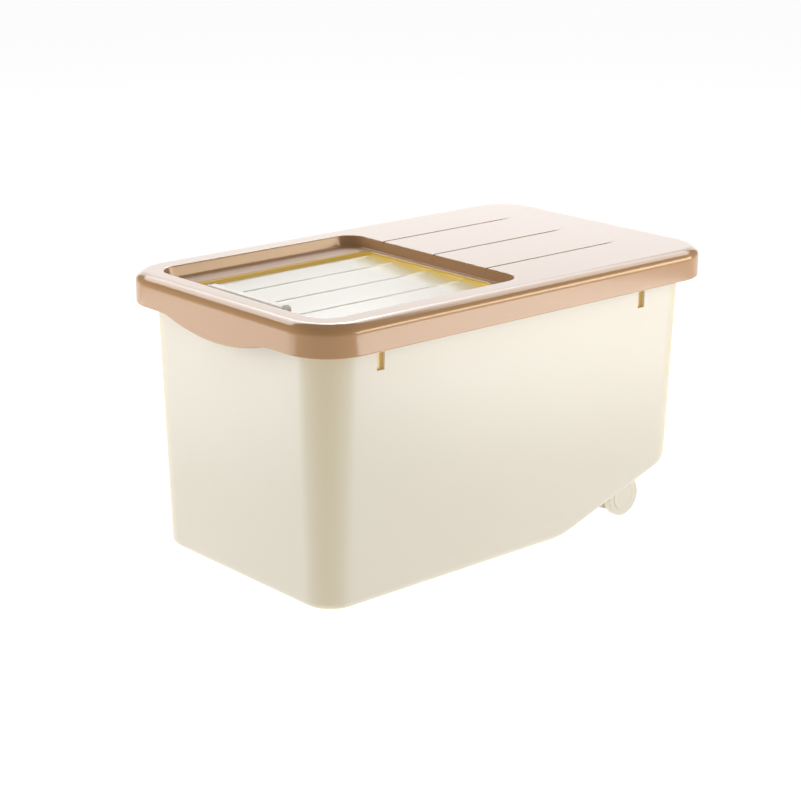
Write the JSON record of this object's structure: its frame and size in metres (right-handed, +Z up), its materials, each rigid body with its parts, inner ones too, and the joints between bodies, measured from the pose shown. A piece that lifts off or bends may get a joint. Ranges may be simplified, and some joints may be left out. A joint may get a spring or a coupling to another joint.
{
  "type": "rice storage box",
  "caption": "Tapered rice storage box with a ramped underside on rear wheels, a lift-off lid with a pull lip, and a planked sliding door in the lid for scooping.",
  "frame": {"origin": "on the floor, under the middle of the lid's outline", "axes": "+Y from the door end to the wheel end, +Z up, +X to the right when facing the door end"},
  "size_m": [0.238, 0.4, 0.213],
  "materials": {
    "tub_cream": "satin",
    "lid_tan": "gloss",
    "rail_tan": "satin",
    "door_cream": "gloss",
    "axle_steel": "satin",
    "wheel_cream": "satin",
    "cap_cream": "satin"
  },
  "bodies": {
    "tub": {"tub": "tub_cream"},
    "lid": {"lid_frame": "lid_tan", "door_rail_left": "rail_tan", "door_rail_right": "rail_tan"},
    "door": {"sliding_door": "door_cream"},
    "wheelset": {"axle": "axle_steel", "wheel_left": "wheel_cream", "wheel_right": "wheel_cream", "wheel_cap_left": "cap_cream", "wheel_cap_right": "cap_cream"}
  },
  "joints": [
    {"name": "lid_lift", "type": "slide", "parent": "tub", "child": "lid", "axis": [0, 0, 1], "range_m": [0, 0.12]},
    {"name": "door_slide", "type": "slide", "parent": "lid", "child": "door", "axis": [0, 1, 0], "range_m": [0, 0.166]},
    {"name": "wheel_spin", "type": "hinge", "parent": "tub", "child": "wheelset", "pos_m": [0, 0.1275, 0.0165], "axis": [1, 0, 0], "continuous": true}
  ]
}
